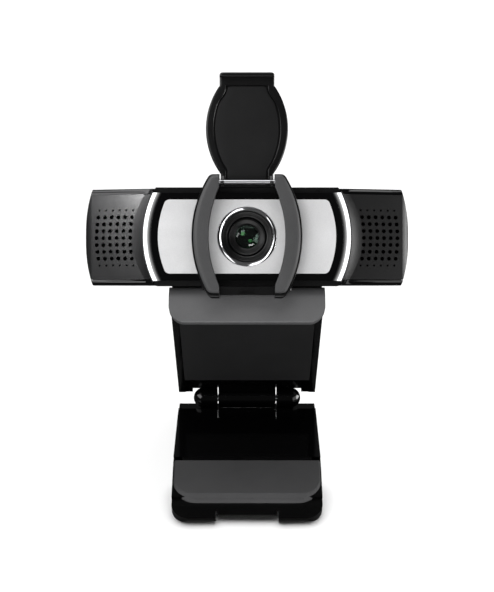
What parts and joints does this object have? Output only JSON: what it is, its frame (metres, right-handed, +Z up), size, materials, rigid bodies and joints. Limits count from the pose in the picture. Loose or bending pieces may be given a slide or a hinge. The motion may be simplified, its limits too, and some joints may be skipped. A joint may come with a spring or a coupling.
{
  "type": "webcam on a folding monitor clip",
  "caption": "Wide webcam head with a flip-up lens shutter, light bars and microphone grilles, tilting on a folding monitor clip that also stands on a table.",
  "frame": {"origin": "on the table, at the centre of the object's footprint box, midway between its sides and midway between its front and back extremes", "axes": "+Z up, +X to the right seen from the front, -Y is the side the lens faces"},
  "size_m": [0.094, 0.0588, 0.1207],
  "materials": {
    "matte_shell": "fine-grained matte",
    "satin_black": "satin",
    "gloss_black": "polished",
    "silver_plate": "fine blasted and brushed",
    "chrome_ring": "bright",
    "light_pipe": "clear white, lit",
    "lens_glass": "coated",
    "soft_grey": "soft-touch",
    "soft_black": "soft-touch",
    "pad_rubber": "matte",
    "rubber_black": "matte",
    "acoustic_cloth": "woven",
    "steel": "plated",
    "brass_insert": "turned",
    "copper": "enamelled winding",
    "circuit_board": "solder mask",
    "chip_black": "moulded",
    "white_plastic": "moulded"
  },
  "bodies": {
    "stand": {"leg_frame": "gloss_black", "leg_panel": "gloss_black", "tripod_insert": "brass_insert", "leg_screws": "steel", "foot_pin": "steel"},
    "clip": {"clip_frame": "gloss_black", "clip_cover": "matte_shell", "front_lip": "soft_grey", "jaw_pad": "pad_rubber", "clip_pin": "steel", "tilt_pin": "steel"},
    "head": {"rear_shell": "matte_shell", "front_frame": "satin_black", "front_bezel": "gloss_black", "face_plate": "silver_plate", "left_wing_shell": "matte_shell", "right_wing_shell": "matte_shell", "left_top_trim": "gloss_black", "right_top_trim": "gloss_black", "left_bottom_trim": "gloss_black", "right_bottom_trim": "gloss_black", "left_light_bar": "light_pipe", "right_light_bar": "light_pipe", "left_light_board": "circuit_board", "right_light_board": "circuit_board", "left_mesh": "acoustic_cloth", "right_mesh": "acoustic_cloth", "left_microphone": "steel", "right_microphone": "steel", "left_mic_boot": "rubber_black", "right_mic_boot": "rubber_black", "lens_ring": "chrome_ring", "lens_hood": "satin_black", "focus_housing": "satin_black", "focus_magnets": "steel", "ir_filter": "lens_glass", "image_sensor": "chip_black", "sensor_board": "circuit_board", "main_board": "circuit_board", "image_processor": "chip_black", "board_shield": "steel", "usb_header": "white_plastic", "cable_gland": "rubber_black", "head_screws": "steel", "shutter_bracket": "soft_grey", "flap_pin": "steel", "tilt_saddle": "satin_black", "saddle_screws": "steel"},
    "focus": {"lens_barrel": "satin_black", "lens_retainer": "satin_black", "front_element": "lens_glass", "aperture_stop": "satin_black", "middle_element": "lens_glass", "rear_element": "lens_glass", "lens_carrier": "satin_black", "focus_coil": "copper"},
    "flap": {"flap": "satin_black", "flap_liner": "soft_black"},
    "foot": {"foot_carrier": "satin_black", "foot_pad": "pad_rubber"}
  },
  "joints": [
    {"name": "clip_fold", "type": "hinge", "parent": "stand", "child": "clip", "pos_m": [0, 0.02492, 0.00787], "axis": [1, 0, 0], "range_deg": [-50, 55]},
    {"name": "head_tilt", "type": "hinge", "parent": "clip", "child": "head", "pos_m": [0, 0.00698, 0.05738], "axis": [-1, 0, 0], "range_deg": [0, 50]},
    {"name": "flap_swing", "type": "hinge", "parent": "head", "child": "flap", "pos_m": [0, 0.00735, 0.09401], "axis": [1, 0, 0], "range_deg": [0, 178]},
    {"name": "focus_slide", "type": "slide", "parent": "head", "child": "focus", "axis": [0, -0.866, 0.5], "range_m": [0, 0.0003], "stiffness_N_per_m": 300},
    {"name": "foot_fold", "type": "hinge", "parent": "stand", "child": "foot", "pos_m": [0, -0.01058, 0.00741], "axis": [1, 0, 0], "range_deg": [-25, 15]}
  ]
}
